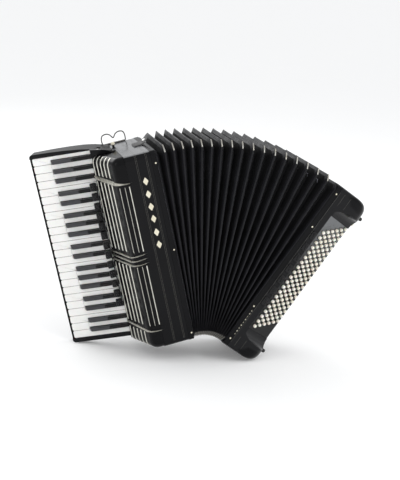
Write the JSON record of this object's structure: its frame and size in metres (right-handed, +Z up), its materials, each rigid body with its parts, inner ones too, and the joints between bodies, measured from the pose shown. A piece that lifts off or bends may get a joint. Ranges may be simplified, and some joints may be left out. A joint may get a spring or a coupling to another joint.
{
  "type": "piano accordion",
  "caption": "Piano accordion standing with its bellows fanned open, with sprung piano keys and register switches on one side and sprung bass button rows on the other.",
  "frame": {"origin": "on the floor, under the middle of the instrument's bounding box", "axes": "+X from the keyboard side to the bass side, +Y from the front to the back, +Z up"},
  "size_m": [0.85, 0.208, 0.5731],
  "materials": {
    "black_lacquer": "polished black lacquer over wood",
    "timber": "bare spruce and maple",
    "white_key_cover": "polished",
    "black_key_cover": "polished",
    "black_plastic": "satin",
    "ivory_button": "polished",
    "axle_steel": "drawn",
    "bracket_metal": "dark plated",
    "strap_leather": "grained",
    "foot_rubber": "moulded",
    "bellows_cloth": "cloth tape over card"
  },
  "bodies": {
    "treble": {"treble_casing": "black_lacquer", "treble_grille": "black_lacquer", "treble_bellows_frame": "black_lacquer", "treble_reed_board": "timber", "keyboard_bed": "black_lacquer", "key_axle": "axle_steel", "strap_bracket": "bracket_metal", "bellows_strap": "strap_leather", "top_stud": "black_plastic", "bellows": "bellows_cloth"},
    "bass": {"bass_casing": "black_lacquer", "bass_bellows_frame": "black_lacquer", "bass_reed_board": "timber", "button_board": "black_lacquer", "hand_strap": "strap_leather", "foot_1": "foot_rubber", "foot_2": "foot_rubber", "foot_3": "foot_rubber", "foot_4": "foot_rubber"},
    "white_key_01": {"white_key_01": "white_key_cover"},
    "white_key_02": {"white_key_02": "white_key_cover"},
    "white_key_03": {"white_key_03": "white_key_cover"},
    "white_key_04": {"white_key_04": "white_key_cover"},
    "white_key_05": {"white_key_05": "white_key_cover"},
    "white_key_06": {"white_key_06": "white_key_cover"},
    "white_key_07": {"white_key_07": "white_key_cover"},
    "white_key_08": {"white_key_08": "white_key_cover"},
    "white_key_09": {"white_key_09": "white_key_cover"},
    "white_key_10": {"white_key_10": "white_key_cover"},
    "white_key_11": {"white_key_11": "white_key_cover"},
    "white_key_12": {"white_key_12": "white_key_cover"},
    "white_key_13": {"white_key_13": "white_key_cover"},
    "white_key_14": {"white_key_14": "white_key_cover"},
    "white_key_15": {"white_key_15": "white_key_cover"},
    "white_key_16": {"white_key_16": "white_key_cover"},
    "white_key_17": {"white_key_17": "white_key_cover"},
    "white_key_18": {"white_key_18": "white_key_cover"},
    "white_key_19": {"white_key_19": "white_key_cover"},
    "white_key_20": {"white_key_20": "white_key_cover"},
    "white_key_21": {"white_key_21": "white_key_cover"},
    "white_key_22": {"white_key_22": "white_key_cover"},
    "white_key_23": {"white_key_23": "white_key_cover"},
    "white_key_24": {"white_key_24": "white_key_cover"},
    "black_keys_1": {"black_keys_1": "black_key_cover"},
    "black_keys_2": {"black_keys_2": "black_key_cover"},
    "black_keys_3": {"black_keys_3": "black_key_cover"},
    "black_keys_4": {"black_keys_4": "black_key_cover"},
    "black_keys_5": {"black_keys_5": "black_key_cover"},
    "black_keys_6": {"black_keys_6": "black_key_cover"},
    "black_keys_7": {"black_keys_7": "black_key_cover"},
    "treble_switches": {"treble_switches": "black_plastic"},
    "bass_switches": {"bass_switches": "black_plastic"},
    "air_button": {"air_button": "ivory_button"},
    "bass_button_row_1": {"bass_button_row_1": "ivory_button"},
    "bass_button_row_2": {"bass_button_row_2": "ivory_button"},
    "bass_button_row_3": {"bass_button_row_3": "ivory_button"},
    "bass_button_row_4": {"bass_button_row_4": "ivory_button"},
    "bass_button_row_5": {"bass_button_row_5": "ivory_button"},
    "bass_button_row_6": {"bass_button_row_6": "ivory_button"},
    "strap_wheel": {"strap_wheel": "bracket_metal"}
  },
  "joints": [
    {"name": "bellows_fan", "type": "hinge", "parent": "treble", "child": "bass", "pos_m": [0.02628, 0, 0.06947], "axis": [0, 1, 0], "range_deg": [-48.9, 6], "deforming": ["bellows"]},
    {"name": "white_key_01_press", "type": "hinge", "parent": "treble", "child": "white_key_01", "pos_m": [-0.19846, 0.02149, 0.27054], "axis": [0.2741, 0, -0.9617], "range_deg": [0, 1.85], "stiffness_Nm_per_rad": 0.6, "springref_deg": -22.92},
    {"name": "white_key_02_press", "type": "hinge", "parent": "treble", "child": "white_key_02", "pos_m": [-0.19846, 0.02149, 0.27054], "axis": [0.2741, 0, -0.9617], "range_deg": [0, 1.85], "stiffness_Nm_per_rad": 0.6, "springref_deg": -22.92},
    {"name": "white_key_03_press", "type": "hinge", "parent": "treble", "child": "white_key_03", "pos_m": [-0.19846, 0.02149, 0.27054], "axis": [0.2741, 0, -0.9617], "range_deg": [0, 1.85], "stiffness_Nm_per_rad": 0.6, "springref_deg": -22.92},
    {"name": "white_key_04_press", "type": "hinge", "parent": "treble", "child": "white_key_04", "pos_m": [-0.19846, 0.02149, 0.27054], "axis": [0.2741, 0, -0.9617], "range_deg": [0, 1.85], "stiffness_Nm_per_rad": 0.6, "springref_deg": -22.92},
    {"name": "white_key_05_press", "type": "hinge", "parent": "treble", "child": "white_key_05", "pos_m": [-0.19846, 0.02149, 0.27054], "axis": [0.2741, 0, -0.9617], "range_deg": [0, 1.85], "stiffness_Nm_per_rad": 0.6, "springref_deg": -22.92},
    {"name": "white_key_06_press", "type": "hinge", "parent": "treble", "child": "white_key_06", "pos_m": [-0.19846, 0.02149, 0.27054], "axis": [0.2741, 0, -0.9617], "range_deg": [0, 1.85], "stiffness_Nm_per_rad": 0.6, "springref_deg": -22.92},
    {"name": "white_key_07_press", "type": "hinge", "parent": "treble", "child": "white_key_07", "pos_m": [-0.19846, 0.02149, 0.27054], "axis": [0.2741, 0, -0.9617], "range_deg": [0, 1.85], "stiffness_Nm_per_rad": 0.6, "springref_deg": -22.92},
    {"name": "white_key_08_press", "type": "hinge", "parent": "treble", "child": "white_key_08", "pos_m": [-0.19846, 0.02149, 0.27054], "axis": [0.2741, 0, -0.9617], "range_deg": [0, 1.85], "stiffness_Nm_per_rad": 0.6, "springref_deg": -22.92},
    {"name": "white_key_09_press", "type": "hinge", "parent": "treble", "child": "white_key_09", "pos_m": [-0.19846, 0.02149, 0.27054], "axis": [0.2741, 0, -0.9617], "range_deg": [0, 1.85], "stiffness_Nm_per_rad": 0.6, "springref_deg": -22.92},
    {"name": "white_key_10_press", "type": "hinge", "parent": "treble", "child": "white_key_10", "pos_m": [-0.19846, 0.02149, 0.27054], "axis": [0.2741, 0, -0.9617], "range_deg": [0, 1.85], "stiffness_Nm_per_rad": 0.6, "springref_deg": -22.92},
    {"name": "white_key_11_press", "type": "hinge", "parent": "treble", "child": "white_key_11", "pos_m": [-0.19846, 0.02149, 0.27054], "axis": [0.2741, 0, -0.9617], "range_deg": [0, 1.85], "stiffness_Nm_per_rad": 0.6, "springref_deg": -22.92},
    {"name": "white_key_12_press", "type": "hinge", "parent": "treble", "child": "white_key_12", "pos_m": [-0.19846, 0.02149, 0.27054], "axis": [0.2741, 0, -0.9617], "range_deg": [0, 1.85], "stiffness_Nm_per_rad": 0.6, "springref_deg": -22.92},
    {"name": "white_key_13_press", "type": "hinge", "parent": "treble", "child": "white_key_13", "pos_m": [-0.19846, 0.02149, 0.27054], "axis": [0.2741, 0, -0.9617], "range_deg": [0, 1.85], "stiffness_Nm_per_rad": 0.6, "springref_deg": -22.92},
    {"name": "white_key_14_press", "type": "hinge", "parent": "treble", "child": "white_key_14", "pos_m": [-0.19846, 0.02149, 0.27054], "axis": [0.2741, 0, -0.9617], "range_deg": [0, 1.85], "stiffness_Nm_per_rad": 0.6, "springref_deg": -22.92},
    {"name": "white_key_15_press", "type": "hinge", "parent": "treble", "child": "white_key_15", "pos_m": [-0.19846, 0.02149, 0.27054], "axis": [0.2741, 0, -0.9617], "range_deg": [0, 1.85], "stiffness_Nm_per_rad": 0.6, "springref_deg": -22.92},
    {"name": "white_key_16_press", "type": "hinge", "parent": "treble", "child": "white_key_16", "pos_m": [-0.19846, 0.02149, 0.27054], "axis": [0.2741, 0, -0.9617], "range_deg": [0, 1.85], "stiffness_Nm_per_rad": 0.6, "springref_deg": -22.92},
    {"name": "white_key_17_press", "type": "hinge", "parent": "treble", "child": "white_key_17", "pos_m": [-0.19846, 0.02149, 0.27054], "axis": [0.2741, 0, -0.9617], "range_deg": [0, 1.85], "stiffness_Nm_per_rad": 0.6, "springref_deg": -22.92},
    {"name": "white_key_18_press", "type": "hinge", "parent": "treble", "child": "white_key_18", "pos_m": [-0.19846, 0.02149, 0.27054], "axis": [0.2741, 0, -0.9617], "range_deg": [0, 1.85], "stiffness_Nm_per_rad": 0.6, "springref_deg": -22.92},
    {"name": "white_key_19_press", "type": "hinge", "parent": "treble", "child": "white_key_19", "pos_m": [-0.19846, 0.02149, 0.27054], "axis": [0.2741, 0, -0.9617], "range_deg": [0, 1.85], "stiffness_Nm_per_rad": 0.6, "springref_deg": -22.92},
    {"name": "white_key_20_press", "type": "hinge", "parent": "treble", "child": "white_key_20", "pos_m": [-0.19846, 0.02149, 0.27054], "axis": [0.2741, 0, -0.9617], "range_deg": [0, 1.85], "stiffness_Nm_per_rad": 0.6, "springref_deg": -22.92},
    {"name": "white_key_21_press", "type": "hinge", "parent": "treble", "child": "white_key_21", "pos_m": [-0.19846, 0.02149, 0.27054], "axis": [0.2741, 0, -0.9617], "range_deg": [0, 1.85], "stiffness_Nm_per_rad": 0.6, "springref_deg": -22.92},
    {"name": "white_key_22_press", "type": "hinge", "parent": "treble", "child": "white_key_22", "pos_m": [-0.19846, 0.02149, 0.27054], "axis": [0.2741, 0, -0.9617], "range_deg": [0, 1.85], "stiffness_Nm_per_rad": 0.6, "springref_deg": -22.92},
    {"name": "white_key_23_press", "type": "hinge", "parent": "treble", "child": "white_key_23", "pos_m": [-0.19846, 0.02149, 0.27054], "axis": [0.2741, 0, -0.9617], "range_deg": [0, 1.85], "stiffness_Nm_per_rad": 0.6, "springref_deg": -22.92},
    {"name": "white_key_24_press", "type": "hinge", "parent": "treble", "child": "white_key_24", "pos_m": [-0.19846, 0.02149, 0.27054], "axis": [0.2741, 0, -0.9617], "range_deg": [0, 1.85], "stiffness_Nm_per_rad": 0.6, "springref_deg": -22.92},
    {"name": "black_keys_1_press", "type": "hinge", "parent": "treble", "child": "black_keys_1", "pos_m": [-0.19846, 0.02149, 0.27054], "axis": [0.2741, 0, -0.9617], "range_deg": [0, 1.85], "stiffness_Nm_per_rad": 0.6, "springref_deg": -22.92},
    {"name": "black_keys_2_press", "type": "hinge", "parent": "treble", "child": "black_keys_2", "pos_m": [-0.19846, 0.02149, 0.27054], "axis": [0.2741, 0, -0.9617], "range_deg": [0, 1.85], "stiffness_Nm_per_rad": 0.6, "springref_deg": -22.92},
    {"name": "black_keys_3_press", "type": "hinge", "parent": "treble", "child": "black_keys_3", "pos_m": [-0.19846, 0.02149, 0.27054], "axis": [0.2741, 0, -0.9617], "range_deg": [0, 1.85], "stiffness_Nm_per_rad": 0.6, "springref_deg": -22.92},
    {"name": "black_keys_4_press", "type": "hinge", "parent": "treble", "child": "black_keys_4", "pos_m": [-0.19846, 0.02149, 0.27054], "axis": [0.2741, 0, -0.9617], "range_deg": [0, 1.85], "stiffness_Nm_per_rad": 0.6, "springref_deg": -22.92},
    {"name": "black_keys_5_press", "type": "hinge", "parent": "treble", "child": "black_keys_5", "pos_m": [-0.19846, 0.02149, 0.27054], "axis": [0.2741, 0, -0.9617], "range_deg": [0, 1.85], "stiffness_Nm_per_rad": 0.6, "springref_deg": -22.92},
    {"name": "black_keys_6_press", "type": "hinge", "parent": "treble", "child": "black_keys_6", "pos_m": [-0.19846, 0.02149, 0.27054], "axis": [0.2741, 0, -0.9617], "range_deg": [0, 1.85], "stiffness_Nm_per_rad": 0.6, "springref_deg": -22.92},
    {"name": "black_keys_7_press", "type": "hinge", "parent": "treble", "child": "black_keys_7", "pos_m": [-0.19846, 0.02149, 0.27054], "axis": [0.2741, 0, -0.9617], "range_deg": [0, 1.85], "stiffness_Nm_per_rad": 0.6, "springref_deg": -22.92},
    {"name": "treble_switches_press", "type": "slide", "parent": "treble", "child": "treble_switches", "axis": [0, 1, 0], "range_m": [0, 0.002], "stiffness_N_per_m": 400, "springref_m": -0.003},
    {"name": "bass_switches_press", "type": "slide", "parent": "bass", "child": "bass_switches", "axis": [0, 1, 0], "range_m": [0, 0.002], "stiffness_N_per_m": 400, "springref_m": -0.003},
    {"name": "air_button_press", "type": "slide", "parent": "bass", "child": "air_button", "axis": [-0.8388, 0, 0.5445], "range_m": [0, 0.005], "stiffness_N_per_m": 300, "springref_m": -0.004},
    {"name": "bass_button_row_1_press", "type": "slide", "parent": "bass", "child": "bass_button_row_1", "axis": [-0.4194, 0.866, 0.2722], "range_m": [0, 0.004], "stiffness_N_per_m": 400, "springref_m": -0.004},
    {"name": "bass_button_row_2_press", "type": "slide", "parent": "bass", "child": "bass_button_row_2", "axis": [-0.4194, 0.866, 0.2722], "range_m": [0, 0.004], "stiffness_N_per_m": 400, "springref_m": -0.004},
    {"name": "bass_button_row_3_press", "type": "slide", "parent": "bass", "child": "bass_button_row_3", "axis": [-0.4194, 0.866, 0.2722], "range_m": [0, 0.004], "stiffness_N_per_m": 400, "springref_m": -0.004},
    {"name": "bass_button_row_4_press", "type": "slide", "parent": "bass", "child": "bass_button_row_4", "axis": [-0.4194, 0.866, 0.2722], "range_m": [0, 0.004], "stiffness_N_per_m": 400, "springref_m": -0.004},
    {"name": "bass_button_row_5_press", "type": "slide", "parent": "bass", "child": "bass_button_row_5", "axis": [-0.4194, 0.866, 0.2722], "range_m": [0, 0.004], "stiffness_N_per_m": 400, "springref_m": -0.004},
    {"name": "bass_button_row_6_press", "type": "slide", "parent": "bass", "child": "bass_button_row_6", "axis": [-0.4194, 0.866, 0.2722], "range_m": [0, 0.004], "stiffness_N_per_m": 400, "springref_m": -0.004},
    {"name": "strap_wheel_turn", "type": "hinge", "parent": "bass", "child": "strap_wheel", "pos_m": [0.41311, 0.012, 0.37214], "axis": [0.8388, 0, -0.5445], "continuous": true}
  ]
}
